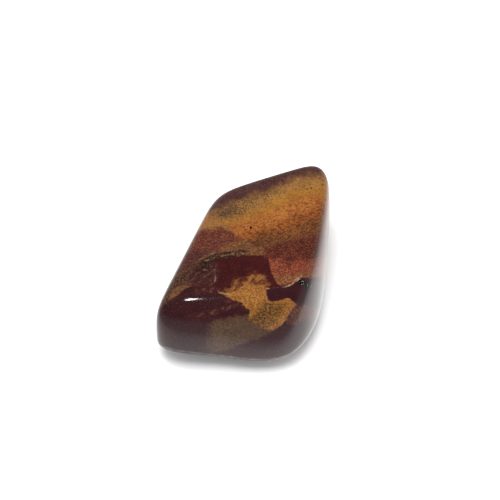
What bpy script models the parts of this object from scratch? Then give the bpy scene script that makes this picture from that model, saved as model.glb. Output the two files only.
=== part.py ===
"""A tumbled, polished pebble of rainbow jasper: one piece of stone, lying on the flat of its underside.

The pebble keeps the broad faces of the chip that it was tumbled from. Each face is a plane, and the
tumbling has worn the edges between them round. Run it with blender --background --python part.py, or
from the text editor. Lengths are in metres: +X is to the right, +Y away from the viewer and +Z up, and
the stone lies on z = 0.
"""

from typing import NamedTuple

import bmesh
import bpy
import numpy as np

MM = 0.001


class Facet(NamedTuple):
    """One broad face of the chip, as a plane."""

    azimuth: float  # degrees from +X towards +Y, where the face looks
    tilt: float  # degrees from straight up
    reach: float  # distance of the plane from MIDDLE


class Swell(NamedTuple):
    """A low, round rise in the surface, or a dip where its height is negative."""

    place: tuple[float, float, float]  # from MIDDLE
    spread: float
    height: float


# The point inside the stone that the facets are measured from. It puts the stone's box over the origin.
MIDDLE = np.array([-0.31, 0.51, 4.7]) * MM

UPPER_FACETS = {
    "top": Facet(250, 5, 5.8 * MM),
    "left side": Facet(157, 94, 6.75 * MM),
    "left brow": Facet(159, 56, 8.63 * MM),
    "left corner": Facet(218, 85, 15.9 * MM),
    "back side": Facet(109, 86, 9.15 * MM),
    "back corner": Facet(43, 84, 16.8 * MM),
    "right side": Facet(356, 91, 11.3 * MM),
    "right brow": Facet(349, 74, 11.5 * MM),
    "right shoulder": Facet(338, 63, 11.5 * MM),
    "right foot": Facet(332, 91, 13.2 * MM),
    "front right": Facet(306, 67, 13.0 * MM),
    "front corner": Facet(318, 101, 15.4 * MM),
    "front": Facet(270, 55, 11.8 * MM),
    "front middle": Facet(269, 69, 12.9 * MM),
    "front foot": Facet(266, 84, 13.7 * MM),
}
LOWER_FACETS = {
    "under front": Facet(258, 140, 10.8 * MM),
    "under nose": Facet(308, 140, 11.7 * MM),
    "under right": Facet(340, 142, 10.0 * MM),
    "under back": Facet(100, 146, 7.4 * MM),
    "under left": Facet(152, 138, 6.9 * MM),
    "base": Facet(0, 180, 4.76 * MM),
}

# How far tumbling has worn the edges round: within each group, and along the rim where the groups meet.
UPPER_WEAR = 0.8 * MM
LOWER_WEAR = 0.9 * MM
RIM_WEAR = 0.42 * MM
RIM_WEAR_PER_X = 0.012  # the rim is rounder towards the right
RIM_WEAR_LIMITS = (0.3 * MM, 1.5 * MM)

# The front rim waves: it dips inwards left of the middle and swells outwards right of it. Above the dip, the
# front face bulges slightly.
SWELLS = (
    Swell(place=(-3.5 * MM, -13.2 * MM, -1.7 * MM), spread=2.2 * MM, height=-0.2 * MM),
    Swell(place=(1.0 * MM, -13.4 * MM, -2.9 * MM), spread=2.4 * MM, height=0.15 * MM),
    Swell(place=(-4.0 * MM, -12.3 * MM, 0.4 * MM), spread=2.6 * MM, height=0.2 * MM),
)

# The net that is drawn over the stone: its cells per cube edge, and the rough half sizes it is spread over.
NET_CELLS = 28
NET_HALF_SIZES = np.array([11.5, 13.5, 6.5]) * MM
FARTHEST_SURFACE = 25 * MM
HALVINGS = 40
SMALLEST_EDGE = 0.02 * MM
ON_PLANE = 0.0001 * MM

STONE_COLOUR = (0.156, 0.061, 0.026, 1.0)
POLISH_ROUGHNESS = 0.12
STONE_IOR = 1.54


def clear_scene():
    for obj in list(bpy.data.objects):
        bpy.data.objects.remove(obj)


def facet_normal(facet):
    azimuth, tilt = np.radians((facet.azimuth, facet.tilt))
    return np.array([np.sin(tilt) * np.cos(azimuth), np.sin(tilt) * np.sin(azimuth), np.cos(tilt)])


def beyond_facets(points, facets, wear):
    """How far each point lies outside a group of facets, whose edges are worn round by a soft maximum."""
    normals = np.array([facet_normal(facet) for facet in facets.values()])
    reaches = np.array([facet.reach for facet in facets.values()])
    beyond = ((points - MIDDLE) @ normals.T - reaches) / wear
    return wear * np.logaddexp.reduce(beyond, axis=-1)


def beyond_surface(points):
    """How far each point lies outside the stone, in metres. It is negative inside."""
    upper = beyond_facets(points, UPPER_FACETS, UPPER_WEAR)
    lower = beyond_facets(points, LOWER_FACETS, LOWER_WEAR)
    rim_wear = np.clip(RIM_WEAR + RIM_WEAR_PER_X * (points - MIDDLE)[:, 0], *RIM_WEAR_LIMITS)
    beyond = rim_wear * np.logaddexp(upper / rim_wear, lower / rim_wear)
    for swell in SWELLS:
        away_squared = ((points - MIDDLE - np.array(swell.place)) ** 2).sum(axis=1)
        beyond -= swell.height * np.exp(-away_squared / (2 * swell.spread**2))
    return beyond


def surface_points(directions):
    """Where lines from MIDDLE in these directions leave the stone, found by halving."""
    inside = np.zeros(len(directions))
    outside = np.full(len(directions), FARTHEST_SURFACE)
    for _ in range(HALVINGS):
        middle = (inside + outside) / 2
        is_outside = beyond_surface(MIDDLE + directions * middle[:, None]) > 0
        outside = np.where(is_outside, middle, outside)
        inside = np.where(is_outside, inside, middle)
    return MIDDLE + directions * inside[:, None]


def stone_net():
    """A cube's surface, cut into even cells and drawn out onto the stone."""
    net = bmesh.new()
    bmesh.ops.create_cube(net, size=2)
    bmesh.ops.subdivide_edges(net, edges=net.edges[:], cuts=NET_CELLS - 1, use_grid_fill=True)
    cube = np.array([vertex.co for vertex in net.verts])
    ball = np.tan(cube * np.pi / 4)
    ball /= np.linalg.norm(ball, axis=1, keepdims=True)
    spread = ball * NET_HALF_SIZES
    directions = spread / np.linalg.norm(spread, axis=1, keepdims=True)
    for vertex, point in zip(net.verts, surface_points(directions)):
        vertex.co = point
    return net


def cut_resting_flat(net):
    """Cuts off what would lie below z = 0 and closes the cut with the flat that the stone rests on."""
    for vertex in net.verts:
        if abs(vertex.co.z) < SMALLEST_EDGE:
            vertex.co.z = 0
    everything = net.verts[:] + net.edges[:] + net.faces[:]
    bmesh.ops.bisect_plane(
        net, geom=everything, dist=ON_PLANE, plane_co=(0, 0, 0), plane_no=(0, 0, -1), clear_outer=True
    )
    bmesh.ops.remove_doubles(net, verts=net.verts[:], dist=SMALLEST_EDGE)
    flat_rim = [edge for edge in net.edges if edge.is_boundary]
    bmesh.ops.contextual_create(net, geom=flat_rim)


def polished_jasper():
    material = bpy.data.materials.new("polished jasper")
    material.use_nodes = True
    shader = material.node_tree.nodes["Principled BSDF"]
    shader.inputs["Base Color"].default_value = STONE_COLOUR
    shader.inputs["Roughness"].default_value = POLISH_ROUGHNESS
    shader.inputs["IOR"].default_value = STONE_IOR
    shader.inputs["Metallic"].default_value = 0.0
    return material


def make_stone():
    net = stone_net()
    cut_resting_flat(net)
    bmesh.ops.recalc_face_normals(net, faces=net.faces[:])
    mesh = bpy.data.meshes.new("stone")
    net.to_mesh(mesh)
    net.free()
    mesh.shade_smooth()
    mesh.materials.append(polished_jasper())
    stone = bpy.data.objects.new("stone", mesh)
    bpy.context.scene.collection.objects.link(stone)
    return stone


clear_scene()
make_stone()
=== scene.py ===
"""The looks of a tumbled, polished pebble of rainbow jasper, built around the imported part.

The pebble's surface is drawn again as a fine net over the same worn facets as the CAD part has. Its bands,
patches, speckles and veins are sketched in millimetres on a plane through the stone's middle, as on tracing
paper held square to the line of sight, and they run into the stone along that line. Each one becomes a
distance that is kept at the net's points, and one procedural material paints them all.
"""

import logging
from collections.abc import Sequence
from dataclasses import dataclass
from enum import Enum
from statistics import NormalDist

import bmesh
import bpy
import numpy as np
from mathutils import Matrix, Vector, noise


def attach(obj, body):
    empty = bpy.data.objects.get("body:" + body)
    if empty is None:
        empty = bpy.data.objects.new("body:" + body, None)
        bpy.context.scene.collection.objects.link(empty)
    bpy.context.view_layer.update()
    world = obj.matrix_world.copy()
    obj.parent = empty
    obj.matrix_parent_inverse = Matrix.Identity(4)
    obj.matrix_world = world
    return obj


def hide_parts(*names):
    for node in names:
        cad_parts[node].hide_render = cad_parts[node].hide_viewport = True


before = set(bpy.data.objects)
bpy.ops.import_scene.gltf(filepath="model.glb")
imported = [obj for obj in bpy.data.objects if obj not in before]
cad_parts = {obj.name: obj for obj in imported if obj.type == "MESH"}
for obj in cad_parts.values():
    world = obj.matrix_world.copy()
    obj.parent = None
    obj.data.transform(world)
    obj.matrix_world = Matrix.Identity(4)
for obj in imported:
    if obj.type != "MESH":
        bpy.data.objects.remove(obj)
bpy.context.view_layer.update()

MM = 0.001
TINY = 1e-12  # stands in for a length of 0 where something is divided by it
CUBE_SIZE = 2
ORIGIN = (0.0, 0.0, 0.0)
WHITE = (1.0, 1.0, 1.0, 1.0)

Place = tuple[float, float]
Place3D = tuple[float, float, float]
Shade = tuple[int, int, int]
Socket = bpy.types.NodeSocket
Value = Socket | float

log = logging.getLogger("rainbow jasper")


# The form of the stone, in millimetres


@dataclass(frozen=True)
class Facet:
    """One broad face of the chip that the stone was tumbled from.

    Attributes:
        azimuth: Where the face looks, in degrees from +X towards +Y.
        tilt: How far it looks away from straight up, in degrees.
        reach: Its distance from the stone's middle.
    """

    azimuth: float
    tilt: float
    reach: float

    def normal(self) -> np.ndarray:
        """Return the way the face looks, as a unit vector."""
        azimuth, tilt = np.radians((self.azimuth, self.tilt))
        return np.array([np.sin(tilt) * np.cos(azimuth), np.sin(tilt) * np.sin(azimuth), np.cos(tilt)])


@dataclass(frozen=True)
class Swell:
    """A low, round rise in the surface, or a dip where its height is negative.

    Attributes:
        place: Its centre, measured from the stone's middle.
        spread: How wide it is.
        height: How far it rises.
    """

    place: Place3D
    spread: float
    height: float


@dataclass(frozen=True)
class StoneForm:
    """The worn facets of the CAD part, drawn with a finer net.

    Attributes:
        middle: The point inside the stone that the facets are measured from.
        upper_facets: The broad faces above the rim.
        lower_facets: The faces of the underside, and the flat that the stone rests on.
        upper_wear: How far the edges between the upper facets are worn round.
        lower_wear: The same for the lower facets.
        rim_wear: The same for the rim where the two groups meet, at the middle.
        rim_wear_per_x: How much rounder the rim grows towards the right.
        rim_wear_limits: The sharpest and the roundest that the rim gets.
        swells: The waves of the front rim.
        net_half_sizes: The rough half sizes that the net is spread over.
        net_cells: The net's cells along each edge of the cube that it is drawn out from.
        farthest: A distance from the middle that is outside the stone in every direction.
        halvings: How often the search for the surface halves that distance.
    """

    middle: Place3D = (-0.31, 0.51, 4.7)
    upper_facets: tuple[Facet, ...] = (
        Facet(250, 5, 5.8),  # top
        Facet(157, 94, 6.75),  # left side
        Facet(159, 56, 8.63),  # left brow
        Facet(218, 85, 15.9),  # left corner
        Facet(109, 86, 9.15),  # back side
        Facet(43, 84, 16.8),  # back corner
        Facet(356, 91, 11.3),  # right side
        Facet(349, 74, 11.5),  # right brow
        Facet(338, 63, 11.5),  # right shoulder
        Facet(332, 91, 13.2),  # right foot
        Facet(306, 67, 13.0),  # front right
        Facet(318, 101, 15.4),  # front corner
        Facet(270, 55, 11.8),  # front
        Facet(269, 69, 12.9),  # front middle
        Facet(266, 84, 13.7),  # front foot
    )
    lower_facets: tuple[Facet, ...] = (
        Facet(258, 140, 10.8),  # under the front
        Facet(308, 140, 11.7),  # under the nose
        Facet(340, 142, 10.0),  # under the right
        Facet(100, 146, 7.4),  # under the back
        Facet(152, 138, 6.9),  # under the left
        Facet(0, 180, 4.76),  # base
    )
    upper_wear: float = 0.8
    lower_wear: float = 0.9
    rim_wear: float = 0.42
    rim_wear_per_x: float = 0.012
    rim_wear_limits: tuple[float, float] = (0.3, 1.5)
    swells: tuple[Swell, ...] = (
        Swell(place=(-3.5, -13.2, -1.7), spread=2.2, height=-0.2),
        Swell(place=(1.0, -13.4, -2.9), spread=2.4, height=0.15),
        Swell(place=(-4.0, -12.3, 0.4), spread=2.6, height=0.2),
    )
    net_half_sizes: Place3D = (11.5, 13.5, 6.5)
    net_cells: tuple[int, int, int] = (158, 178, 62)
    farthest: float = 25.0
    halvings: int = 30

    def beyond_facets(self, points: np.ndarray, facets: Sequence[Facet], wear: float) -> np.ndarray:
        """Measure how far points lie outside a group of facets with worn edges.

        Args:
            points: Places in millimetres, one per row.
            facets: The group.
            wear: How far the group's edges are worn round.

        Returns:
            One distance per point, negative inside.
        """
        normals = np.array([facet.normal() for facet in facets])
        reaches = np.array([facet.reach for facet in facets])
        beyond = ((points - self.middle) @ normals.T - reaches) / wear
        return wear * np.logaddexp.reduce(beyond, axis=-1)

    def beyond(self, points: np.ndarray) -> np.ndarray:
        """Measure how far points lie outside the stone.

        Args:
            points: Places in millimetres, one per row.

        Returns:
            One distance per point, negative inside.
        """
        upper = self.beyond_facets(points, self.upper_facets, self.upper_wear)
        lower = self.beyond_facets(points, self.lower_facets, self.lower_wear)
        rightwards = (points - self.middle)[:, 0]
        rim_wear = np.clip(self.rim_wear + self.rim_wear_per_x * rightwards, *self.rim_wear_limits)
        beyond = rim_wear * np.logaddexp(upper / rim_wear, lower / rim_wear)
        for swell in self.swells:
            away_squared = ((points - self.middle - np.array(swell.place)) ** 2).sum(axis=1)
            beyond -= swell.height * np.exp(-away_squared / (2 * swell.spread**2))
        return beyond

    def surface(self, directions: np.ndarray) -> np.ndarray:
        """Find by halving where lines from the middle leave the stone.

        Args:
            directions: Unit vectors, one per row.

        Returns:
            One place on the surface per direction. What would lie below the resting flat is on it.
        """
        inside = np.zeros(len(directions))
        outside = np.full(len(directions), self.farthest)
        for _ in range(self.halvings):
            half_way = (inside + outside) / 2
            is_outside = self.beyond(self.middle + directions * half_way[:, None]) > 0
            outside = np.where(is_outside, half_way, outside)
            inside = np.where(is_outside, inside, half_way)
        points = self.middle + directions * inside[:, None]
        points[:, 2] = np.maximum(points[:, 2], 0)
        return points

    def net(self) -> bmesh.types.BMesh:
        """Cut a cube's surface into even cells and draw it out onto the stone.

        The cells become even steps of angle on a ball, so that they stay alike all round the stone.

        Returns:
            The net, in metres.
        """
        net = bmesh.new()
        bmesh.ops.create_cube(net, size=CUBE_SIZE)
        for axis, cells in enumerate(self.net_cells):
            spans = {edge: (edge.verts[0].co - edge.verts[1].co)[axis] for edge in net.edges}
            along = [edge for edge, span in spans.items() if abs(span) > CUBE_SIZE / 2]
            bmesh.ops.subdivide_edges(net, edges=along, cuts=cells - 1, use_grid_fill=True)
        cube = np.array([vertex.co for vertex in net.verts])
        ball = np.tan(cube * np.pi / 4)
        ball /= np.linalg.norm(ball, axis=1, keepdims=True)
        spread = ball * self.net_half_sizes
        directions = spread / np.linalg.norm(spread, axis=1, keepdims=True)
        for vertex, point in zip(net.verts, self.surface(directions)):
            vertex.co = point * MM
        bmesh.ops.recalc_face_normals(net, faces=net.faces[:])
        return net


# The plane that the pattern is sketched on


@dataclass(frozen=True)
class SketchPlane:
    """A plane through the stone's middle, square to a line of sight that looks down along +Y.

    Attributes:
        middle: The stone's middle, in millimetres.
        elevation: How far the line of sight looks down, in degrees.
        eye_distance: How far the eye is from the middle, in millimetres.
        hidden_stray: How far the pattern strays from straight on the sides that face away.
        stray_facings: How squarely a side faces the eye where that starts and where it is full, as cosines.
        stray_size: How large the waves of that straying are.
        stray_seed: What picks the waves, so that they are the same each time.
    """

    middle: Place3D = StoneForm.middle
    elevation: float = 54.0
    eye_distance: float = 220.0
    hidden_stray: float = 2.6
    stray_facings: tuple[float, float] = (0.3, -0.3)
    stray_size: float = 7.0
    stray_seed: int = 3

    def right(self) -> np.ndarray:
        """Return the sketch's way to the right."""
        return np.array([1.0, 0.0, 0.0])

    def up(self) -> np.ndarray:
        """Return the sketch's way up."""
        angle = np.radians(self.elevation)
        return np.array([0.0, np.sin(angle), np.cos(angle)])

    def towards_eye(self) -> np.ndarray:
        """Return the way from the stone to the eye."""
        angle = np.radians(self.elevation)
        return np.array([0.0, -np.cos(angle), np.sin(angle)])

    def places(self, points: np.ndarray, normals: np.ndarray) -> np.ndarray:
        """Find where points of the surface fall on the sketch.

        Args:
            points: Places in millimetres, one per row.
            normals: The way the surface looks at each point.

        Returns:
            Rightwards and upwards places on the sketch, one row per point.
        """
        from_middle = points - self.middle
        nearness = 1 - from_middle @ self.towards_eye() / self.eye_distance
        places = np.stack([from_middle @ self.right(), from_middle @ self.up()], axis=1) / nearness[:, None]
        facing = normals @ self.towards_eye()
        first, full = self.stray_facings
        hidden = np.clip((first - facing) / (first - full), 0, 1)
        noise.seed_set(self.stray_seed)
        waves = np.array([noise.noise_vector(Vector(point / self.stray_size))[:2] for point in points])
        return places + self.hidden_stray * hidden[:, None] * waves


@dataclass(frozen=True)
class SketchedNet:
    """The stone's net as the pattern needs it, with one row per point.

    Attributes:
        points: Where the points are, in millimetres.
        places: Where they fall on the sketch.
        above_rim: How far they lie inside the lower facets.
    """

    points: np.ndarray
    places: np.ndarray
    above_rim: np.ndarray


# The tones of the stone


class Scattering(Enum):
    """The ways in which small marks lie in a tone."""

    DOTS = "dots"
    GAPS = "gaps between the dots"
    DASHES = "dashes"
    STROKES = "strokes"
    WISPS = "wisps"


@dataclass(frozen=True)
class Marks:
    """Small marks of one shade, scattered in a tone.

    Attributes:
        shade: Their colour, as sRGB values from 0 to 255.
        cover: The share of the tone that they cover.
        scattering: How they lie.
        strength: How solid they are, from 0 to 1.
    """

    shade: Shade
    cover: float
    scattering: Scattering = Scattering.DOTS
    strength: float = 1.0


@dataclass(frozen=True)
class Tone:
    """One colour of the jasper.

    Attributes:
        base: Its main shade, as sRGB values from 0 to 255.
        mottle: A second shade that it drifts to.
        marks: What is scattered in it, from the lowest layer up.
    """

    base: Shade
    mottle: Shade
    marks: tuple[Marks, ...] = ()


DOTS = Scattering.DOTS
GAPS = Scattering.GAPS
DASHES = Scattering.DASHES
STROKES = Scattering.STROKES
WISPS = Scattering.WISPS

TOP_MAROON = Tone((76, 48, 47), (66, 41, 43), (Marks((110, 76, 58), 0.14, DOTS, 0.5),))
GREY_TAN = Tone((164, 117, 65), (148, 104, 60), (Marks((88, 60, 40), 0.2, DOTS, 0.7),))
SPECKLED_TAN = Tone((146, 106, 62), (128, 90, 56), (Marks((66, 46, 32), 0.34, DOTS, 0.7),))
DUSKY_TAN = Tone(
    (122, 89, 60),
    (104, 75, 53),
    (Marks((54, 38, 32), 0.4, DOTS, 0.7), Marks((146, 106, 68), 0.14, GAPS, 0.4)),
)
GOLDEN = Tone((170, 117, 49), (158, 106, 47), (Marks((112, 72, 38), 0.16, DOTS, 0.6),))
ORANGE = Tone(
    (173, 109, 53),
    (158, 92, 46),
    (Marks((102, 52, 33), 0.3, DASHES, 0.7), Marks((188, 126, 66), 0.12, GAPS, 0.5)),
)
SPECKLED_ORANGE = Tone((160, 93, 44), (142, 80, 41), (Marks((82, 42, 27), 0.4, DASHES, 0.75),))
OLIVE_BROWN = Tone(
    (130, 78, 42),
    (112, 66, 38),
    (Marks((66, 40, 26), 0.38, DASHES, 0.8), Marks((158, 102, 56), 0.14, GAPS, 0.6)),
)
DUSKY_OLIVE = Tone(
    (100, 60, 38),
    (86, 51, 35),
    (Marks((56, 34, 26), 0.34, DASHES, 0.8), Marks((132, 86, 52), 0.14, GAPS, 0.5)),
)
PINKISH_TAN = Tone(
    (112, 66, 44),
    (96, 54, 38),
    (Marks((76, 42, 33), 0.3, DASHES, 0.7), Marks((150, 98, 64), 0.12, GAPS, 0.5)),
)
SPECKLED_RED = Tone(
    (92, 43, 35),
    (80, 36, 32),
    (Marks((60, 29, 27), 0.26, DOTS, 0.6), Marks((130, 78, 50), 0.24, GAPS, 0.45)),
)
RED_ORANGE = Tone(
    (138, 70, 50),
    (118, 56, 42),
    (Marks((78, 36, 30), 0.26, DOTS, 0.6), Marks((158, 96, 62), 0.26, GAPS, 0.45)),
)
TAN_ORANGE = Tone(
    (130, 79, 51),
    (114, 66, 43),
    (Marks((82, 45, 33), 0.24, DOTS, 0.6), Marks((158, 108, 68), 0.24, GAPS, 0.45)),
)
FRONT_MAROON = Tone((60, 27, 31), (54, 24, 29), (Marks((88, 52, 50), 0.05, GAPS, 0.5),))
WEDGE_ORANGE = Tone((154, 107, 62), (142, 93, 52), (Marks((100, 62, 41), 0.2, DOTS, 0.6),))
DUSTY_RED = Tone(
    (106, 56, 45),
    (92, 47, 40),
    (Marks((70, 37, 33), 0.28, DOTS, 0.6), Marks((142, 90, 60), 0.24, GAPS, 0.4)),
)
DUSTY_MAROON = Tone(
    (90, 51, 45),
    (76, 42, 40),
    (Marks((56, 31, 30), 0.26, DOTS, 0.6), Marks((120, 78, 58), 0.22, GAPS, 0.4)),
)
DUSTY_TAN = Tone(
    (124, 79, 50),
    (106, 64, 43),
    (Marks((64, 43, 30), 0.36, DASHES, 0.8), Marks((156, 108, 68), 0.16, GAPS, 0.5)),
)
BROWN_FLANK = Tone(
    (78, 51, 40),
    (64, 41, 34),
    (Marks((40, 26, 23), 0.3, STROKES, 0.8), Marks((124, 88, 60), 0.24, GAPS, 0.5)),
)
FLANK_ORANGE = Tone(
    (116, 78, 53),
    (96, 63, 45),
    (Marks((68, 44, 34), 0.28, STROKES, 0.7), Marks((142, 102, 66), 0.22, GAPS, 0.5)),
)
BLOCK_FRINGE = Tone(
    (70, 48, 38),
    (56, 38, 32),
    (Marks((32, 24, 20), 0.36, STROKES, 0.9), Marks((128, 96, 68), 0.24, GAPS, 0.5)),
)
BLOCK_CORNER = Tone(
    (46, 28, 26),
    (58, 32, 29),
    (Marks((30, 21, 18), 0.3, STROKES, 0.8), Marks((108, 78, 60), 0.12, GAPS, 0.5)),
)
BLOCK_MAROON = Tone((67, 26, 25), (58, 22, 24), (Marks((84, 39, 36), 0.06, GAPS, 0.5),))
VEINED_MAROON = Tone(
    (66, 33, 32),
    (56, 28, 29),
    (Marks((104, 74, 60), 0.12, STROKES, 0.6), Marks((96, 62, 52), 0.14, GAPS, 0.4)),
)
LOBE_MAROON = Tone(
    (63, 29, 31),
    (54, 27, 30),
    (Marks((50, 25, 29), 0.16, DOTS, 0.4), Marks((104, 72, 68), 0.02, GAPS, 0.3)),
)
TAN_FLECKS = Tone(
    (71, 35, 33),
    (63, 30, 31),
    (Marks((140, 98, 76), 0.16, STROKES, 0.5), Marks((108, 68, 53), 0.1, GAPS, 0.5)),
)
OCHRE_WISPS = Tone(
    (88, 45, 33),
    (78, 36, 30),
    (Marks((160, 106, 54), 0.46, WISPS, 0.85), Marks((128, 80, 48), 0.24, GAPS, 0.6)),
)
OCHRE = Tone(
    (163, 107, 51),
    (148, 94, 46),
    (Marks((104, 66, 36), 0.2, DOTS, 0.65), Marks((186, 132, 68), 0.14, GAPS, 0.5)),
)
OCHRE_FOOT = Tone(
    (92, 66, 49), (82, 58, 44), (Marks((64, 44, 34), 0.2, DOTS, 0.5), Marks((122, 90, 64), 0.12, GAPS, 0.4))
)
OLIVE = Tone(
    (124, 84, 43),
    (108, 72, 38),
    (Marks((62, 42, 28), 0.36, DOTS, 0.75), Marks((160, 112, 58), 0.14, GAPS, 0.5)),
)
WEDGE_MAROON = Tone((61, 28, 32), (54, 25, 30))
SPECKLED_BROWN = Tone(
    (92, 51, 42),
    (76, 40, 37),
    (Marks((54, 28, 28), 0.24, DOTS, 0.6), Marks((136, 84, 58), 0.24, GAPS, 0.5)),
)
TAN_LINE = Tone((140, 100, 68), (112, 76, 52))
DIM_VEIN = Tone((140, 104, 92), (104, 70, 62))
PALE_VEIN = Tone((196, 156, 124), (170, 124, 96))
YELLOW_VEIN = Tone((190, 148, 96), (160, 116, 70))
OCHRE_SEAM = Tone((104, 62, 36), (124, 78, 42))
# Painted highlight: the pale line along the front rim is light painted into the colour.
RIM_HIGHLIGHT = Tone((132, 120, 118), (104, 92, 92))
BLACK = Tone((16, 13, 14), (24, 18, 18))
# A black notch whose few white specks are painted glints.
NOTCH_WITH_PAINTED_GLINTS = Tone((14, 13, 16), (24, 20, 24), (Marks((190, 184, 180), 0.015, DOTS, 0.8),))


# The pattern: bands, patches, veins and spots on the sketch


@dataclass(frozen=True, kw_only=True)
class Area:
    """A part of the sketch that one tone fills.

    Attributes:
        name: What it is called on the net.
        tone: What fills it.
        soft: How far its edge fades each way, in millimetres.
        ragged: How far its edge strays each way, in millimetres.
    """

    name: str
    tone: Tone
    soft: float = 0.08
    ragged: float = 0.25

    def depth(self, net: SketchedNet) -> np.ndarray:
        """Measure how deep the net's points lie inside the area.

        Args:
            net: The net.

        Returns:
            One depth per point, in millimetres and negative outside.
        """
        raise NotImplementedError


def gaps_to_path(places: np.ndarray, path: np.ndarray) -> np.ndarray:
    """Measure how far places are from a line through a row of points.

    Args:
        places: Places on the sketch, one per row.
        path: The points, one per row.

    Returns:
        One distance per place.
    """
    nearest = np.full(len(places), np.inf)
    for start, end in zip(path[:-1], path[1:]):
        along = end - start
        share = np.clip((places - start) @ along / max(along @ along, TINY), 0, 1)
        gaps = np.linalg.norm(places - start - share[:, None] * along, axis=1)
        nearest = np.minimum(nearest, gaps)
    return nearest


@dataclass(frozen=True, kw_only=True)
class Band(Area):
    """A band of the sketch: everything below an upper edge, so that the next band covers its lower part.

    Attributes:
        edge: Places along that edge, from left to right.
    """

    edge: tuple[Place, ...]

    def depth(self, net: SketchedNet) -> np.ndarray:
        """Measure how deep the net's points lie inside the area.

        Args:
            net: The net.

        Returns:
            One depth per point, in millimetres and negative outside.
        """
        places = net.places
        rightwards, upwards = np.array(self.edge).T
        slope = np.gradient(upwards, rightwards)
        steepness = np.hypot(1, np.interp(places[:, 0], rightwards, slope))
        return (np.interp(places[:, 0], rightwards, upwards) - places[:, 1]) / steepness


@dataclass(frozen=True, kw_only=True)
class Patch(Area):
    """A closed patch, whose few corners are joined by a smooth curve.

    Attributes:
        outline: The corners, in order.
        curve_steps: The straight steps that the curve takes from one corner to the next.
        margin: How far outside the patch its depth is still measured, in millimetres.
    """

    outline: tuple[Place, ...]
    curve_steps: int = 4
    margin: float = 1.5

    def curve(self) -> np.ndarray:
        """Draw the closed curve through the corners.

        Returns:
            A row of points that ends where it starts.
        """
        corners = np.array(self.outline)
        before, start, end, after = (np.roll(corners, shift, axis=0) for shift in (1, 0, -1, -2))
        share = np.linspace(0, 1, self.curve_steps, endpoint=False)[:, None, None]
        bend = (2 * before - 5 * start + 4 * end - after) * share**2
        twist = (3 * start - before - 3 * end + after) * share**3
        curve = (2 * start + (end - before) * share + bend + twist) / 2
        points = curve.transpose(1, 0, 2).reshape(-1, 2)
        return np.vstack([points, points[:1]])

    def depth(self, net: SketchedNet) -> np.ndarray:
        """Measure how deep the net's points lie inside the area.

        Args:
            net: The net.

        Returns:
            One depth per point, in millimetres and negative outside.
        """
        places = net.places
        curve = self.curve()
        depths = np.full(len(places), -self.margin)
        is_near = (places > curve.min(axis=0) - self.margin).all(axis=1)
        is_near &= (places < curve.max(axis=0) + self.margin).all(axis=1)
        near = places[is_near]
        is_inside = np.zeros(len(near), bool)
        for start, end in zip(curve[:-1], curve[1:]):
            crosses = (start[1] > near[:, 1]) != (end[1] > near[:, 1])
            rise = end[1] - start[1] if end[1] != start[1] else TINY
            crossing = start[0] + (near[:, 1] - start[1]) * (end[0] - start[0]) / rise
            is_inside ^= crosses & (near[:, 0] < crossing)
        gaps = gaps_to_path(near, curve)
        depths[is_near] = np.where(is_inside, gaps, -gaps)
        return depths


@dataclass(frozen=True, kw_only=True)
class Vein(Area):
    """One or more thin lines of the same width.

    Attributes:
        paths: The points that each line runs through.
        half_width: Half of its width. At 0 or less, only its soft and ragged edge is left to draw it.
    """

    paths: tuple[tuple[Place, ...], ...]
    half_width: float

    def depth(self, net: SketchedNet) -> np.ndarray:
        """Measure how deep the net's points lie inside the area.

        Args:
            net: The net.

        Returns:
            One depth per point, in millimetres and negative outside.
        """
        gaps = [gaps_to_path(net.places, np.array(path)) for path in self.paths]
        return self.half_width - np.minimum.reduce(gaps)


@dataclass(frozen=True, kw_only=True)
class Spots(Area):
    """Round spots of the same size.

    Attributes:
        centres: Where they are.
        radius: Half of their width.
    """

    centres: tuple[Place, ...]
    radius: float

    def depth(self, net: SketchedNet) -> np.ndarray:
        """Measure how deep the net's points lie inside the area.

        Args:
            net: The net.

        Returns:
            One depth per point, in millimetres and negative outside.
        """
        gaps = [np.linalg.norm(net.places - np.array(centre), axis=1) for centre in self.centres]
        return self.radius - np.minimum.reduce(gaps)


@dataclass(frozen=True, kw_only=True)
class RimHighlight(Area):
    """A thin pale line along the front of the rim, just above the lower facets: a painted highlight.

    Attributes:
        above_rim: How far above the lower facets the line's middle runs.
        half_width: Half of its width.
        farthest_back: How far back it reaches, as a place along Y.
    """

    above_rim: float
    half_width: float
    farthest_back: float

    def depth(self, net: SketchedNet) -> np.ndarray:
        """Measure how deep the net's points lie inside the area.

        Args:
            net: The net.

        Returns:
            One depth per point, in millimetres and negative outside.
        """
        gaps = np.abs(net.above_rim - self.above_rim)
        behind = np.maximum(net.points[:, 1] - self.farthest_back, 0)
        return self.half_width - gaps - behind


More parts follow.
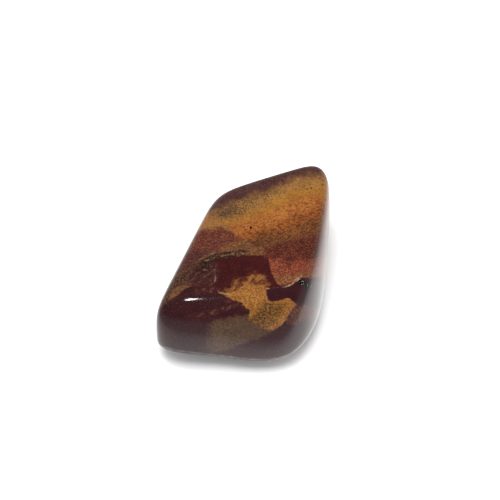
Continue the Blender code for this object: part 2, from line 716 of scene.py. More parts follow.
# The areas, from the lowest up. Their places are on the sketch: to the right of the stone's middle and up.
PATTERN: tuple[Area, ...] = (
    Band(
        name="grey_tan", tone=GREY_TAN, soft=0.7, ragged=0.4,
        edge=(
            (-14, 4.7), (-8, 6.2), (-5, 6.6), (-2.8, 7.5), (0, 8.55), (3, 9.65), (6.5, 11.1), (8.5, 11.9),
            (14, 12.3),
        ),
    ),
    Patch(
        name="speckled_tan", tone=SPECKLED_TAN, soft=0.5, ragged=0.5,
        outline=(
            (-9, 5.8), (-5, 6.3), (-2.8, 7.3), (0.7, 8.7), (4.6, 10.0), (2, 8.2), (0, 6.5), (-3, 5.5),
            (-6, 5.6),
        ),
    ),
    Patch(
        name="dusky_tan", tone=DUSKY_TAN, soft=0.6, ragged=0.5,
        outline=(
            (-9, 5.8), (-5, 6.3), (-3.2, 7.2), (-1.6, 7.8), (-0.6, 7.7), (-1.0, 6.9), (-2.2, 6.2),
            (-3.8, 5.9), (-6, 5.7),
        ),
    ),
    Band(
        name="golden", tone=GOLDEN, soft=0.7, ragged=0.4,
        edge=(
            (-14, 4.6), (-8, 5.9), (-4.5, 6.3), (-2.8, 5.7), (-0.5, 6.2), (3, 8.0), (6.7, 9.9),
            (10.3, 10.4), (14, 10.8),
        ),
    ),
    Band(
        name="orange", tone=ORANGE, soft=0.6, ragged=0.4,
        edge=(
            (-14, 4.0), (-8, 5.2), (-1, 5.4), (0.8, 5.85), (3.1, 6.85), (6.7, 8.6), (8.5, 9.05), (14, 9.6),
        ),
    ),
    Band(
        name="speckled_orange", tone=SPECKLED_ORANGE, soft=0.6, ragged=0.5,
        edge=((-14, 3.0), (-3, 3.6), (0.75, 4.4), (3.1, 5.2), (6.7, 6.6), (10, 7.7), (14, 8.2)),
    ),
    Band(
        name="olive_brown", tone=OLIVE_BROWN, soft=0.35, ragged=0.35,
        edge=(
            (-14, 2.0), (-3, 2.2), (0.7, 3.1), (1.9, 4.0), (4.3, 4.4), (6.7, 5.1), (9.1, 6.0), (10.3, 6.4),
            (14, 7.0),
        ),
    ),
    Band(
        name="pinkish_tan", tone=PINKISH_TAN, soft=0.25, ragged=0.3,
        edge=(
            (-14, 1.6), (-3, 1.8), (0.75, 2.5), (3.1, 2.6), (5.5, 3.2), (7.9, 4.05), (10, 4.7), (14, 5.5),
        ),
    ),
    Patch(
        name="dusky_olive", tone=DUSKY_OLIVE, soft=0.5, ragged=0.4,
        outline=(
            (0.6, 2.2), (0.9, 3.1), (2.0, 3.4), (3.4, 3.3), (4.8, 3.6), (5.4, 3.1), (3.4, 2.5), (2.0, 1.9),
            (1.2, 1.6),
        ),
    ),
    Band(
        name="speckled_red", tone=SPECKLED_RED, soft=0.25, ragged=0.35,
        edge=((-14, 0.6), (-3, 0.8), (1.9, 1.3), (3.1, 2.0), (4.3, 2.4), (6.7, 3.0), (9.7, 3.8), (14, 4.6)),
    ),
    Band(
        name="red_orange", tone=RED_ORANGE, soft=0.6, ragged=0.5,
        edge=((-14, 0.2), (3.3, 0.7), (6.0, 0.4), (10, 0.8), (14, 1.2)),
    ),
    Band(
        name="tan_orange", tone=TAN_ORANGE, soft=0.4, ragged=0.4,
        edge=((-14, -0.9), (3.9, -1.1), (6.0, -1.5), (8.0, -1.2), (10, -0.6), (14, 0)),
    ),
    Band(
        name="front_maroon", tone=FRONT_MAROON, soft=0.1, ragged=0.25,
        edge=((-14, -2.2), (4.7, -2.75), (5.8, -2.75), (6.8, -2.4), (7.6, -1.9), (9.5, -1.7), (14, -1.4)),
    ),
    Patch(
        name="wedge_orange", tone=WEDGE_ORANGE, soft=0.15, ragged=0.25,
        outline=(
            (-10, 5.7), (-6.5, 6.3), (-4.9, 6.35), (-3.5, 5.8), (-2, 5.35), (-1.1, 4.5), (-3.4, 4.6),
            (-6, 4.3), (-10, 3.8),
        ),
    ),
    Patch(
        name="dusty_red", tone=DUSTY_RED, soft=0.35, ragged=0.35,
        outline=(
            (-11, 3.9), (-5.4, 4.5), (-3.4, 4.8), (-1.5, 4.4), (-0.2, 3.5), (0.9, 2.3), (1.1, 1.6),
            (-1.5, 1.2), (-5, 0.5), (-7, -0.5), (-11, -2),
        ),
    ),
    Patch(
        name="dusty_maroon", tone=DUSTY_MAROON, soft=0.5, ragged=0.5,
        outline=(
            (-9, 0.6), (-6.6, 1.8), (-4.6, 2.0), (-3.2, 2.2), (-2.2, 1.6), (-3.6, 0.6), (-5.6, -0.4),
            (-9, -2.4),
        ),
    ),
    Patch(
        name="dusty_tan", tone=DUSTY_TAN, soft=0.35, ragged=0.4,
        outline=(
            (-1.6, 2.9), (0.1, 3.1), (1.4, 2.7), (2.6, 1.9), (2.2, 1.1), (0.4, 1.5), (-1.6, 1.8),
            (-3.4, 1.2), (-3.2, 1.9),
        ),
    ),
    Patch(
        name="brown_flank", tone=BROWN_FLANK, soft=0.3, ragged=0.4,
        outline=(
            (-7, -0.2), (-5, 0.8), (-3.4, 1.0), (-3.4, 0.2), (-5.6, -0.8), (-6.2, -2.8), (-7.4, -3.2),
            (-9, -4.4), (-11.6, -6.2), (-12.5, -4), (-10, -1.5),
        ),
    ),
    Patch(
        name="flank_orange", tone=FLANK_ORANGE, soft=0.35, ragged=0.4,
        outline=(
            (-9.6, -3.7), (-8.6, -3.0), (-7.4, -2.5), (-6.4, -2.5), (-7.2, -3.1), (-8.4, -3.8),
            (-9.6, -4.6),
        ),
    ),
    Vein(
        name="block_fringe", tone=BLOCK_FRINGE, soft=0.3, ragged=0.45, half_width=0.42,
        paths=(
            ((-7.6, -1.5), (-6.2, -0.4), (-4.9, 0.6), (-3.6, 1.1), (-1.8, 1.4), (-0.4, 1.6), (0.6, 1.75)),
        ),
    ),
    Patch(
        name="block", tone=BLOCK_MAROON, soft=0.05, ragged=0.14,
        outline=(
            (-5.2, 0.3), (-3.3, 0.8), (-0.3, 1.15), (1.1, 1.15), (2.4, 1.15), (3.25, 0.75), (3.5, 0.1),
            (3.6, -0.5), (4.05, -1.55), (4.5, -2.4), (5.0, -3.0), (3.9, -3.5), (2.4, -3.5), (0, -3.4),
            (-2.2, -3.8), (-4, -3.4), (-5.8, -3.2), (-6.9, -2.6), (-6.6, -0.9),
        ),
    ),
    Patch(
        name="veined_maroon", tone=VEINED_MAROON, soft=0.5, ragged=0.5,
        outline=(
            (-7.2, -1.0), (-5.4, 0.2), (-3.8, 0.5), (-3.4, -1), (-3.6, -2.4), (-4.4, -3.0), (-6.2, -3.0),
            (-7.3, -2.4),
        ),
    ),
    Patch(
        name="block_corner", tone=BLOCK_CORNER, soft=0.35, ragged=0.45,
        outline=(
            (-6.6, -1.0), (-5.4, 0.2), (-4.2, 0.9), (-3.0, 1.15), (-1.6, 1.25), (-2.6, 0.75), (-3.8, 0.3),
            (-5.0, -0.6), (-5.8, -1.2),
        ),
    ),
    Patch(
        name="lobe", tone=LOBE_MAROON, soft=0.08, ragged=0.18,
        outline=(
            (-13, -7.2), (-10.9, -5.8), (-9.8, -4.9), (-8.9, -4.3), (-7.5, -3.2), (-6.2, -2.85), (-4, -3.4),
            (-1.7, -4.2), (0.1, -5.3), (1.3, -6.4), (0.6, -7.4), (-2, -8.4), (-4.6, -10), (-5, -13),
            (-9, -15), (-14, -14),
        ),
    ),
    Vein(
        name="tan_flecks", tone=TAN_FLECKS, soft=0.3, ragged=0.45, half_width=0.2,
        paths=(
            ((-6.2, -3.5), (-4.6, -3.4), (-3.2, -3.5), (-1.9, -3.9)),
            ((-4.4, -6.5), (-3.0, -6.1), (-1.6, -5.6), (-0.6, -5.3)),
            ((-2.2, -5.0), (-0.6, -4.9), (0.4, -5.4)),
            ((-7.4, -6.7), (-6.0, -6.9), (-4.6, -6.7)),
        ),
    ),
    Patch(
        name="ochre_foot", tone=OCHRE_FOOT, soft=0.3, ragged=0.2,
        outline=(
            (-6.4, -10.8), (-5.6, -9.0), (-3.9, -7.6), (-1.2, -6.9), (0.6, -6.7), (2.4, -6.6), (5.0, -7.2),
            (5.2, -8.2), (3.2, -9.3), (1.4, -10.05), (-0.5, -10.8), (-2.4, -11.4), (-4.4, -11.6),
        ),
    ),
    Patch(
        name="foot_fade", tone=LOBE_MAROON, soft=1.1, ragged=0.4,
        outline=((-8.5, -7.4), (-5.3, -7.4), (-4.4, -9.2), (-4.7, -11.0), (-5.0, -13.0), (-9.5, -13.0)),
    ),
    Patch(
        name="ochre_wisps", tone=OCHRE_WISPS, soft=0.4, ragged=0.5,
        outline=(
            (-2.2, -3.7), (-1.6, -2.9), (-0.9, -2.2), (0.0, -1.9), (0.9, -1.4), (1.6, -1.1), (2.3, -1.3),
            (2.9, -1.8), (3.4, -2.5), (3.3, -3.3), (3.3, -4.2), (1.0, -4.6), (-1.0, -4.2),
        ),
    ),
    Patch(
        name="ochre", tone=OCHRE, soft=0.12, ragged=0.22,
        outline=(
            (-2.2, -3.9), (-1.6, -3.75), (-0.8, -3.5), (-0.2, -3.05), (0.5, -2.85), (1.4, -2.9),
            (2.2, -2.8), (2.9, -3.0), (3.2, -4.0), (3.6, -4.75), (4.6, -4.8), (5.95, -4.4), (6.7, -4.8),
            (7.1, -5.3), (6.4, -6.3), (5.8, -7.4), (4.8, -8.35), (3.7, -8.8), (2.6, -8.3), (1.6, -7.4),
            (0.8, -7.0), (1.05, -6.4), (0.6, -5.8), (-0.6, -4.95), (-1.5, -4.3),
        ),
    ),
    Patch(
        name="olive", tone=OLIVE, soft=0.45, ragged=0.4,
        outline=(
            (2.5, -5.1), (3.4, -5.0), (4.9, -5.15), (5.6, -5.4), (5.6, -6.0), (5.0, -6.8), (4.4, -7.5),
            (3.4, -8.4), (2.2, -8.2), (1.2, -7.4), (1.5, -6.7), (2.1, -6.1),
        ),
    ),
    Patch(
        name="wedge_maroon", tone=WEDGE_MAROON, soft=0.05, ragged=0.14,
        outline=(
            (3.15, -3.4), (4.4, -3.2), (5.8, -3.05), (6.75, -2.75), (8.0, -2.85), (9.2, -2.9), (12, -3.2),
            (12, -6.0), (8.9, -5.5), (7.4, -5.3), (6.6, -4.75), (5.95, -4.4), (4.6, -4.8), (3.6, -4.75),
        ),
    ),
    Patch(
        name="speckled_brown", tone=SPECKLED_BROWN, soft=0.4, ragged=0.45,
        outline=(
            (6.4, -6.3), (7.3, -5.5), (8.5, -5.5), (9.8, -5.8), (10, -6.9), (8.5, -7.6), (7.0, -7.9),
            (5.9, -7.6),
        ),
    ),
    Vein(
        name="tan_line", tone=TAN_LINE, soft=0.1, ragged=0.2, half_width=0.0,
        paths=(
            ((-4.9, 0.5), (-3.6, 1.0), (-1.8, 1.3), (0.2, 1.5), (1.2, 1.5)),
            ((-6.4, 0.3), (-4.6, 1.25), (-3.2, 1.7), (-1.4, 1.9)),
        ),
    ),
    Vein(
        name="dotted_vein", tone=DIM_VEIN, soft=0.1, ragged=0.16, half_width=-0.01,
        paths=(
            ((-3.2, 0.4), (-3.5, -0.2), (-3.75, -0.8), (-3.6, -1.85), (-3.8, -2.6), (-3.6, -3.2)),
            ((-5.4, -0.7), (-4.3, -0.7), (-3.7, -0.6)),
        ),
    ),
    Vein(
        name="ochre_seam", tone=OCHRE_SEAM, soft=0.1, ragged=0.15, half_width=0.0,
        paths=(((-0.4, -3.2), (0.6, -3.45), (1.8, -3.5), (3.1, -3.3)),),
    ),
    Vein(
        name="pale_vein", tone=PALE_VEIN, soft=0.1, ragged=0.14, half_width=0.0,
        paths=(
            ((3.05, -3.2), (4.4, -3.1), (5.8, -2.95), (6.6, -2.6), (7.0, -2.0), (7.8, -1.5)),
            ((6.6, -2.6), (7.6, -1.9)),
        ),
    ),
    Vein(
        name="yellow_vein", tone=YELLOW_VEIN, soft=0.1, ragged=0.2, half_width=0.04,
        paths=(((-3.5, -3.2), (-3.2, -3.7), (-2.45, -3.85), (-1.6, -3.95)),),
    ),
    Vein(
        name="fine_vein", tone=DIM_VEIN, soft=0.1, ragged=0.1, half_width=0.0,
        paths=(((7.0, -2.0), (8.4, -0.4), (9.15, 0.35)),),
    ),
    Spots(
        name="black_spots", tone=BLACK, soft=0.06, ragged=0.08, radius=0.17,
        centres=((1.07, 4.87), (-6.3, -11.4)),
    ),
    Spots(
        name="small_spots", tone=BLACK, soft=0.06, ragged=0.06, radius=0.1,
        centres=((10.67, 10.6), (8.53, 10.0), (9.07, 10.07), (2.0, 4.2), (0.2, 5.0)),
    ),
    # Painted highlight: a pale line along the front rim, drawn as colour.
    RimHighlight(
        name="rim_highlight", tone=RIM_HIGHLIGHT, soft=0.1, ragged=0.08,
        above_rim=0.62, half_width=0.08, farthest_back=-9.5,
    ),
    # A black notch with painted glints: its white specks are painted highlights.
    Vein(
        name="notch", tone=NOTCH_WITH_PAINTED_GLINTS, soft=0.06, ragged=0.14, half_width=0.3,
        paths=(((7.7, -2.35), (8.3, -2.55), (8.9, -2.85)),),
    ),
)


# The material

STEEPNESS = "steepness"


@dataclass(frozen=True)
class Grain:
    """A soft noise around 0.5.

    Attributes:
        size: How many millimetres its blobs are across.
        detail: How many finer layers it has.
        roughness: How much each finer layer counts.
    """

    size: float
    detail: float = 2.0
    roughness: float = 0.5


@dataclass(frozen=True)
class Texture:
    """The grain of the jasper, which all tones share.

    Attributes:
        edges: The noise that the edges of areas stray with.
        edge_reach: How far it pushes an edge each way, as a multiple of the area's raggedness.
        mottling: The noise that a tone drifts to its mottle with.
        drift: The values of that noise between which it drifts.
        dots: The noise of the dots, and of the gaps between them.
        dashes: The noise of the dashes.
        strokes: The noise of the strokes.
        wisps: The noise of the wisps.
        band_slope: How far the bands rise to the right on the sketch, in degrees.
        dash_scale: How closely the dashes and wisps lie along the bands, across them and into the stone.
        stroke_slope: How far the strokes of the left flank rise, in degrees.
        stroke_scale: How closely the strokes lie along their slope, across it and into the stone.
        spread: How far the noises of the marks stray from 0.5, as a standard deviation.
        speck_blur: How softly a mark's edge fades, in the noise's own values.
    """

    edges: Grain = Grain(1.1, 4.0, 0.66)
    edge_reach: float = 2.5
    mottling: Grain = Grain(1.9, 6.0, 0.75)
    drift: tuple[float, float] = (0.42, 0.58)
    dots: Grain = Grain(0.22, 1.5, 0.6)
    dashes: Grain = Grain(0.24, 2.0, 0.7)
    strokes: Grain = Grain(0.26, 2.0, 0.65)
    wisps: Grain = Grain(0.6, 4.0, 0.8)
    band_slope: float = 18.0
    dash_scale: Place3D = (0.55, 1.0, 0.7)
    stroke_slope: float = 30.0
    stroke_scale: Place3D = (0.3, 1.0, 0.5)
    spread: float = 0.065
    speck_blur: float = 0.05


@dataclass(frozen=True)
class Polish:
    """The finish of the whole surface.

    Attributes:
        roughness: Its lowest and highest roughness on the broad top.
        clouds: The noise that it grows duller with.
        cloud_edges: The values of that noise between which it does.
        steep_roughness: Its roughness on the steep sides, which the tumbling polished less.
        steep_tilts: Between which tilts from level it grows duller, in degrees.
        ior: The stone's refractive index.
        ripples: The noise of the faint ripples that tumbling leaves.
        ripple_strength: How strongly the surface ripples, from 0 to 1.
        ripple_depth: How deep the ripples are, in millimetres.
        light: How much brighter the photographed light is than white paper.
    """

    roughness: tuple[float, float] = (0.045, 0.07)
    clouds: Grain = Grain(4.5)
    cloud_edges: tuple[float, float] = (0.35, 0.65)
    steep_roughness: float = 0.15
    steep_tilts: tuple[float, float] = (42.0, 64.0)
    ior: float = 1.5
    ripples: Grain = Grain(1.1)
    ripple_strength: float = 0.25
    ripple_depth: float = 0.02
    light: float = 1.5

    def albedo(self, shade: Shade) -> tuple[float, float, float, float]:
        """Work out the colour that looks like a shade in the scene's light.

        Args:
            shade: sRGB values from 0 to 255.

        Returns:
            The linear colour, with an alpha of 1.
        """
        channels = np.array(shade) / 255
        linear = np.where(channels <= 0.04045, channels / 12.92, ((channels + 0.055) / 1.055) ** 2.4)
        return (*(linear / self.light).tolist(), 1.0)


class Graph:
    """The nodes of a material or a world, laid by plain calls."""

    def __init__(self, owner: bpy.types.Material | bpy.types.World) -> None:
        """Start the nodes.

        Args:
            owner: The material or world that they belong to.
        """
        owner.use_nodes = True
        self.tree = owner.node_tree

    def node(self, kind: str) -> bpy.types.Node:
        """Lay a node of one kind, such as Math."""
        return self.tree.nodes.new(f"ShaderNode{kind}")

    def feed(self, socket: Socket, value: Value | Sequence[float]) -> None:
        """Join a socket to another, or set it to a number or colour.

        Args:
            socket: The socket that is fed.
            value: The other socket, or the number or colour.
        """
        if isinstance(value, bpy.types.NodeSocket):
            self.tree.links.new(value, socket)
        else:
            socket.default_value = value

    def attribute(self, name: str) -> Socket:
        """Read a number that is kept at the net's points.

        Args:
            name: What the number is called there.

        Returns:
            The number.
        """
        node = self.node("Attribute")
        node.attribute_name = name
        return node.outputs["Fac"]

    def calculate(self, operation: str, first: Value, second: Value = 0.0, third: Value = 0.0) -> Socket:
        """Work out one sum of up to three numbers.

        Args:
            operation: The kind of sum, as the Math node calls it.
            first: The first number.
            second: The second number.
            third: The third number.

        Returns:
            The result.
        """
        node = self.node("Math")
        node.operation = operation
        for socket, value in zip(node.inputs, (first, second, third)):
            self.feed(socket, value)
        return node.outputs[0]

    def fade(self, value: Socket, low: float, high: float, end: float = 1.0, start: float = 0.0) -> Socket:
        """Turn a number into a smooth step.

        Args:
            value: The number.
            low: The value at which the step starts.
            high: The value at which it ends.
            end: What it gives from there on.
            start: What it gives before.

        Returns:
            The step.
        """
        node = self.node("MapRange")
        node.interpolation_type = "SMOOTHSTEP"
        self.feed(node.inputs["Value"], value)
        node.inputs["From Min"].default_value = low
        node.inputs["From Max"].default_value = high
        node.inputs["To Min"].default_value = start
        node.inputs["To Max"].default_value = end
        return node.outputs[0]

    def blend(self, share: Socket, first: Value, second: Value) -> Socket:
        """Mix two numbers by a share of the second."""
        return self.calculate("MULTIPLY_ADD", self.calculate("SUBTRACT", second, first), share, first)

    def mix(self, share: Socket, first: Socket | Sequence[float], second: Socket | Sequence[float]) -> Socket:
        """Mix two colours.

        Args:
            share: The share of the second colour, from 0 to 1.
            first: The first colour.
            second: The second colour.

        Returns:
            The mixed colour.
        """
        node = self.node("Mix")
        node.data_type = "RGBA"
        share_socket, first_colour, second_colour = node.inputs[0], node.inputs[6], node.inputs[7]
        mixed_colour = node.outputs[2]
        self.feed(share_socket, share)
        self.feed(first_colour, first)
        self.feed(second_colour, second)
        return mixed_colour

    def distance(self, place: Socket, centre: Place3D = ORIGIN) -> Socket:
        """Work out how far a place is from a centre.

        Args:
            place: The place.
            centre: The centre.

        Returns:
            The distance between them.
        """
        node = self.node("VectorMath")
        node.operation = "DISTANCE"
        self.feed(node.inputs[0], place)
        self.feed(node.inputs[1], centre)
        return node.outputs["Value"]

    def turned(self, place: Socket, turn: Place3D = ORIGIN, scale: Place3D = (1.0, 1.0, 1.0)) -> Socket:
        """Scale a place and then turn it.

        Args:
            place: The place.
            turn: How far it is turned about X, Y and Z, in degrees.
            scale: How much it is scaled along X, Y and Z.

        Returns:
            The new place.
        """
        node = self.node("Mapping")
        self.feed(node.inputs["Vector"], place)
        node.inputs["Rotation"].default_value = [np.radians(angle) for angle in turn]
        node.inputs["Scale"].default_value = scale
        return node.outputs[0]

    def noise(self, place: Socket, grain: Grain) -> Socket:
        """Lay a soft noise.

        Args:
            place: The place that it is read at, in millimetres.
            grain: The noise.

        Returns:
            Its value there.
        """
        node = self.node("TexNoise")
        self.feed(node.inputs["Vector"], place)
        node.inputs["Scale"].default_value = 1 / grain.size
        node.inputs["Detail"].default_value = grain.detail
        node.inputs["Roughness"].default_value = grain.roughness
        return node.outputs[0]


class JasperMaterial:
    """The stone's material: the pattern's tones, from the lowest area up, under the polish."""

    def __init__(self, texture: Texture, polish: Polish, plane: SketchPlane) -> None:
        """Lay the noises that all tones share.

        Args:
            texture: The grain of the jasper.
            polish: The finish of the whole surface.
            plane: The plane that the pattern is sketched on.
        """
        self.texture = texture
        self.polish = polish
        self.material = bpy.data.materials.new("polished_rainbow_jasper")
        self.graph = Graph(self.material)
        graph = self.graph
        coordinates = graph.node("TexCoord").outputs["Object"]
        to_plane = plane.elevation - 90
        per_mm = 1 / MM
        self.place = graph.turned(coordinates, (to_plane, 0, 0), (per_mm, per_mm, per_mm))
        along_bands = graph.turned(self.place, turn=(0, 0, -texture.band_slope))
        along_strokes = graph.turned(self.place, turn=(0, 0, -texture.stroke_slope))
        dash_place = graph.turned(along_bands, scale=texture.dash_scale)
        stroke_place = graph.turned(along_strokes, scale=texture.stroke_scale)
        dots = graph.noise(self.place, texture.dots)
        self.fields = {
            Scattering.DOTS: dots,
            Scattering.GAPS: graph.calculate("SUBTRACT", 1.0, dots),
            Scattering.DASHES: graph.noise(dash_place, texture.dashes),
            Scattering.STROKES: graph.noise(stroke_place, texture.strokes),
            Scattering.WISPS: graph.noise(dash_place, texture.wisps),
        }
        self.drift = graph.fade(graph.noise(self.place, texture.mottling), *texture.drift)
        self.painted: dict[Tone, Socket] = {}

    def mark_share(self, marks: Marks) -> Socket:
        """Work out where marks lie.

        Args:
            marks: The marks.

        Returns:
            Their strength on the marks, and 0 elsewhere.
        """
        field = self.fields[marks.scattering]
        blur = self.texture.speck_blur
        threshold = NormalDist(0.5, self.texture.spread).inv_cdf(1 - marks.cover)
        return self.graph.fade(field, threshold - blur, threshold + blur, marks.strength)

    def tone_colour(self, tone: Tone) -> Socket:
        """Paint one tone with its mottling and marks.

        Args:
            tone: The tone.

        Returns:
            Its colour.
        """
        if tone in self.painted:
            return self.painted[tone]
        colour = self.graph.mix(self.drift, self.polish.albedo(tone.base), self.polish.albedo(tone.mottle))
        for marks in tone.marks:
            colour = self.graph.mix(self.mark_share(marks), colour, self.polish.albedo(marks.shade))
        self.painted[tone] = colour
        return colour

    def paint(self, ground: Tone, pattern: Sequence[Area]) -> bpy.types.Material:
        """Lay the pattern over the ground tone and polish it.

        Args:
            ground: What fills the stone where no area does.
            pattern: The areas, from the lowest up.

        Returns:
            The finished material.
        """
        graph = self.graph
        reach = self.texture.edge_reach
        edges = graph.noise(self.place, self.texture.edges)
        stray = graph.calculate("MULTIPLY_ADD", edges, 2 * reach, -reach)
        colour = self.tone_colour(ground)
        for area in pattern:
            strayed = graph.calculate("MULTIPLY_ADD", stray, area.ragged, graph.attribute(area.name))
            share = graph.fade(strayed, -area.soft, area.soft)
            colour = graph.mix(share, colour, self.tone_colour(area.tone))
        shader = graph.tree.nodes["Principled BSDF"]
        graph.feed(shader.inputs["Base Color"], colour)
        self.polish_surface(shader)
        return self.material

    def polish_surface(self, shader: bpy.types.Node) -> None:
        """Set the shine, with faint ripples and slightly duller spots.

        Args:
            shader: The material's shader.
        """
        graph = self.graph
        polish = self.polish
        lowest, highest = polish.roughness
        clouds = graph.noise(self.place, polish.clouds)
        dullness = graph.fade(clouds, *polish.cloud_edges, end=highest, start=lowest)
        added = polish.steep_roughness - highest
        graph.feed(
            shader.inputs["Roughness"],
            graph.calculate("MULTIPLY_ADD", graph.attribute(STEEPNESS), added, dullness),
        )
        shader.inputs["IOR"].default_value = polish.ior
        bump = graph.node("Bump")
        bump.inputs["Strength"].default_value = polish.ripple_strength
        bump.inputs["Distance"].default_value = polish.ripple_depth * MM
        graph.feed(bump.inputs["Height"], graph.noise(self.place, polish.ripples))
        graph.feed(shader.inputs["Normal"], bump.outputs["Normal"])


# The pieces of the scene, the light and the camera


@dataclass(frozen=True)
class PolishedStone:
    """The stone, with its pattern and polish.

    Attributes:
        form: Its worn facets.
        plane: The plane that its pattern is sketched on.
        texture: The grain of the jasper.
        polish: The finish of its surface.
        ground: The tone that fills it where no area does.
        pattern: The areas, from the lowest up.
    """

    form: StoneForm = StoneForm()
    plane: SketchPlane = SketchPlane()
    texture: Texture = Texture()
    polish: Polish = Polish()
    ground: Tone = TOP_MAROON
    pattern: tuple[Area, ...] = PATTERN

    def sketch_on(self, mesh: bpy.types.Mesh) -> None:
        """Keep the depth in every area of the pattern, and the steepness, at the mesh's points.

        Args:
            mesh: The stone's mesh.
        """
        points = np.array([vertex.co for vertex in mesh.vertices]) / MM
        normals = np.array([vertex.normal for vertex in mesh.vertices])
        above_rim = -self.form.beyond_facets(points, self.form.lower_facets, self.form.lower_wear)
        net = SketchedNet(points, self.plane.places(points, normals), above_rim)
        tilts = np.degrees(np.arccos(np.clip(normals[:, 2], -1, 1)))
        kept = {area.name: area.depth(net) for area in self.pattern}
        kept[STEEPNESS] = np.interp(tilts, self.polish.steep_tilts, (0, 1))
        for name, values in kept.items():
            attribute = mesh.attributes.new(name, "FLOAT", "POINT")
            attribute.data.foreach_set("value", values.astype(np.float32))

    def build(self) -> bpy.types.Object:
        """Make the stone, ready to render.

        Returns:
            The stone's object, which rides on the part's only body.
        """
        net = self.form.net()
        mesh = bpy.data.meshes.new("polished_stone")
        net.to_mesh(mesh)
        net.free()
        mesh.shade_smooth()
        self.sketch_on(mesh)
        material = JasperMaterial(self.texture, self.polish, self.plane)
        mesh.materials.append(material.paint(self.ground, self.pattern))
        stone = bpy.data.objects.new("polished_stone", mesh)
        bpy.context.scene.collection.objects.link(stone)
        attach(stone, "root")
        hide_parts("stone")
        return stone


@dataclass(frozen=True)
class Table:
    """The plain white surface that the stone lies on.

    The polish mirrors it as the photograph shows it: darker away from the stone, and brighter in a spot to
    the right. Lengths are in metres.

    Attributes:
        half_size: Half of its width.
        whiteness_and_mirrored_shade: How white it is, and how white the polish mirrors its far parts, as
            painted shade.
        painted_shade_reach: How far from the stone the mirrored surface starts to darken as painted shade,
            and where it stops.
        spot_place: The middle of the mirrored bright spot.
        spot_reach: How far from its middle the spot ends, and where it is brightest.
        painted_glow: How brightly the spot glows, though it is no lamp: painted light that only the polish
            mirrors.
    """

    half_size: float = 1.2
    whiteness_and_mirrored_shade: tuple[float, float] = (0.9, 0.28)
    painted_shade_reach: tuple[float, float] = (0.006, 0.06)
    spot_place: Place3D = (0.019, -0.014, 0.0)
    spot_reach: tuple[float, float] = (0.027, 0.006)
    painted_glow: float = 0.95

    def material(self) -> bpy.types.Material:
        """Make the white surface's material.

        Returns:
            The material, which the camera sees as plain white.
        """
        paper = bpy.data.materials.new("white_paper")
        graph = Graph(paper)
        near, far = ((white, white, white, 1) for white in self.whiteness_and_mirrored_shade)
        mirrored = graph.node("LightPath").outputs["Is Glossy Ray"]
        place = graph.node("TexCoord").outputs["Object"]
        # Painted shade: for glossy rays only, the surface darkens away from the stone.
        away = graph.calculate("MULTIPLY", graph.fade(graph.distance(place), *self.painted_shade_reach), mirrored)
        # Painted light: for glossy rays only, a spot to the right glows, so the polish shows a bright
        # reflection there.
        spot = graph.fade(graph.distance(place, self.spot_place), *self.spot_reach, end=self.painted_glow)
        shader = graph.tree.nodes["Principled BSDF"]
        graph.feed(shader.inputs["Base Color"], graph.mix(away, near, far))
        graph.feed(shader.inputs["Emission Color"], WHITE)
        graph.feed(shader.inputs["Emission Strength"], graph.calculate("MULTIPLY", spot, mirrored))
        shader.inputs["Roughness"].default_value = 1.0
        shader.inputs["Specular IOR Level"].default_value = 0.0
        return paper

    def build(self) -> bpy.types.Object:
        """Make the table top.

        Returns:
            The table top's object.
        """
        sheet = bmesh.new()
        bmesh.ops.create_grid(sheet, x_segments=1, y_segments=1, size=self.half_size)
        mesh = bpy.data.meshes.new("table_top")
        sheet.to_mesh(mesh)
        sheet.free()
        mesh.materials.append(self.material())
        table = bpy.data.objects.new("table_top", mesh)
        bpy.context.scene.collection.objects.link(table)
        return table


@dataclass(frozen=True, kw_only=True)
class Lamp:
    """A rectangular lamp that looks at the stone.

    Attributes:
        name: The lamp's name.
        place: Where it hangs, in metres.
        sizes: Its length and width, in metres.
        turn: How far its length is turned from +X, seen from the stone, in degrees.
        power: Its power, in watts.
        shows_in_polish: Whether the polished surface mirrors it.
        lights_surfaces: Whether it lights what it shines on.
    """

    name: str
    place: Place3D
    sizes: tuple[float, float]
    turn: float = 0.0
    power: float
    shows_in_polish: bool
    lights_surfaces: bool

    def build(self) -> bpy.types.Object:
        """Hang the lamp.

        Returns:
            The lamp's object.
        """
        light = bpy.data.lights.new(self.name, "AREA")
        light.shape = "RECTANGLE"
        light.size, light.size_y = self.sizes
        light.energy = self.power
        lamp = bpy.data.objects.new(self.name, light)
        lamp.location = self.place
        away = Vector(self.place).normalized()
        turn = np.radians(self.turn)
        rightwards = Vector((np.cos(turn), np.sin(turn), 0))
        rightwards = (rightwards - away * rightwards.dot(away)).normalized()
        lamp.rotation_euler = Matrix((rightwards, away.cross(rightwards), away)).transposed().to_euler()
        lamp.visible_glossy = self.shows_in_polish
        lamp.visible_diffuse = self.lights_surfaces
        lamp.visible_camera = False
        bpy.context.scene.collection.objects.link(lamp)
        return lamp


SOFT_KEY = Lamp(
    name="soft_key",
    place=(-0.08, 0.06, 0.7),
    sizes=(0.5, 0.5),
    power=5.2,
    shows_in_polish=False,
    lights_surfaces=True,
)
SMALL_OVERHEAD_LAMP = Lamp(
    name="small_overhead_lamp",
    place=(-0.086, 0.112, 0.61),
    sizes=(0.036, 0.028),
    turn=60.0,
    power=0.12,
    shows_in_polish=True,
    lights_surfaces=False,
)


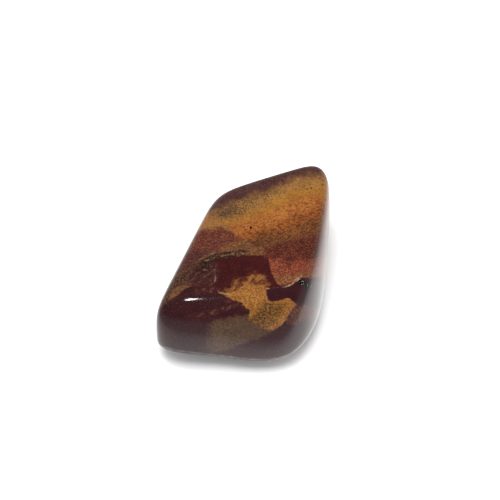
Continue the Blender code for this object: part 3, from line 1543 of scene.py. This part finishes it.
@dataclass(frozen=True)
class Studio:
    """The light and the camera.

    Attributes:
        room_light: The brightness of the room as it lights surfaces.
        walls_mirrored: Its brightness near the horizon, as the polish mirrors it.
        ceiling_mirrored: Its brightness overhead, as the polish mirrors it.
        ceiling_height: How far up the mirrored brightness falls to the ceiling's, as a sine.
        room_seen: Its brightness as the camera sees it.
        lamps: The lamps.
        plane: The plane whose line of sight the camera follows.
        lens: The camera's focal length on a sensor of 36 mm.
        nearest: How near the camera still sees, in metres.
        aim_pixels: Where the photograph's middle is, rightwards and upwards of the stone's middle, in pixels.
        pixels_per_mm: The photograph's scale at the stone.
    """

    room_light: float = 0.85
    walls_mirrored: float = 0.42
    ceiling_mirrored: float = 0.03
    ceiling_height: float = 0.6
    room_seen: float = 0.95
    lamps: tuple[Lamp, ...] = (SOFT_KEY, SMALL_OVERHEAD_LAMP)
    plane: SketchPlane = SketchPlane()
    lens: float = 119.0
    nearest: float = 0.01
    aim_pixels: tuple[int, int] = (7, 14)
    pixels_per_mm: float = 7.5

    def light_room(self) -> None:
        """Make a pale room whose ceiling the polish mirrors as dark."""
        room = bpy.data.worlds.new("pale_room")
        bpy.context.scene.world = room
        graph = Graph(room)
        rays = graph.node("LightPath").outputs
        added = self.room_seen - self.room_light
        seen = graph.calculate("MULTIPLY_ADD", rays["Is Camera Ray"], added, self.room_light)
        direction = graph.node("SeparateXYZ")
        graph.feed(direction.inputs[0], graph.node("TexCoord").outputs["Generated"])
        height = direction.outputs["Z"]
        mirrored = graph.fade(height, 0.0, self.ceiling_height, self.ceiling_mirrored, self.walls_mirrored)
        background = graph.tree.nodes["Background"]
        graph.feed(background.inputs["Strength"], graph.blend(rays["Is Glossy Ray"], seen, mirrored))
        graph.feed(background.inputs["Color"], WHITE)

    def place_camera(self) -> bpy.types.Object:
        """Set up the camera at the photograph's viewing angle.

        Returns:
            The camera's object.
        """
        plane = self.plane
        rightwards, upwards = np.array(self.aim_pixels) / self.pixels_per_mm
        aim = np.array(plane.middle) + plane.right() * rightwards + plane.up() * upwards
        eye = aim + plane.towards_eye() * plane.eye_distance
        lens = bpy.data.cameras.new("camera")
        lens.lens = self.lens
        lens.clip_start = self.nearest
        camera = bpy.data.objects.new("camera", lens)
        camera.location = eye * MM
        camera.rotation_euler = Vector(plane.towards_eye()).to_track_quat("Z", "Y").to_euler()
        bpy.context.scene.collection.objects.link(camera)
        bpy.context.scene.camera = camera
        return camera

    def build(self) -> None:
        """Light the scene and set up the camera."""
        self.light_room()
        for lamp in self.lamps:
            lamp.build()
        self.place_camera()
        bpy.context.scene.view_settings.view_transform = "Standard"


def main() -> None:
    """Build the stone, its stage and its light."""
    logging.basicConfig(level=logging.INFO)
    stone = PolishedStone().build()
    log.info("%s has %d faces and %d areas", stone.name, len(stone.data.polygons), len(PATTERN))
    table = Table().build()
    log.info("%s lies under it", table.name)
    Studio().build()
    log.info("the light and the camera are set up")


if __name__ == "__main__":
    main()
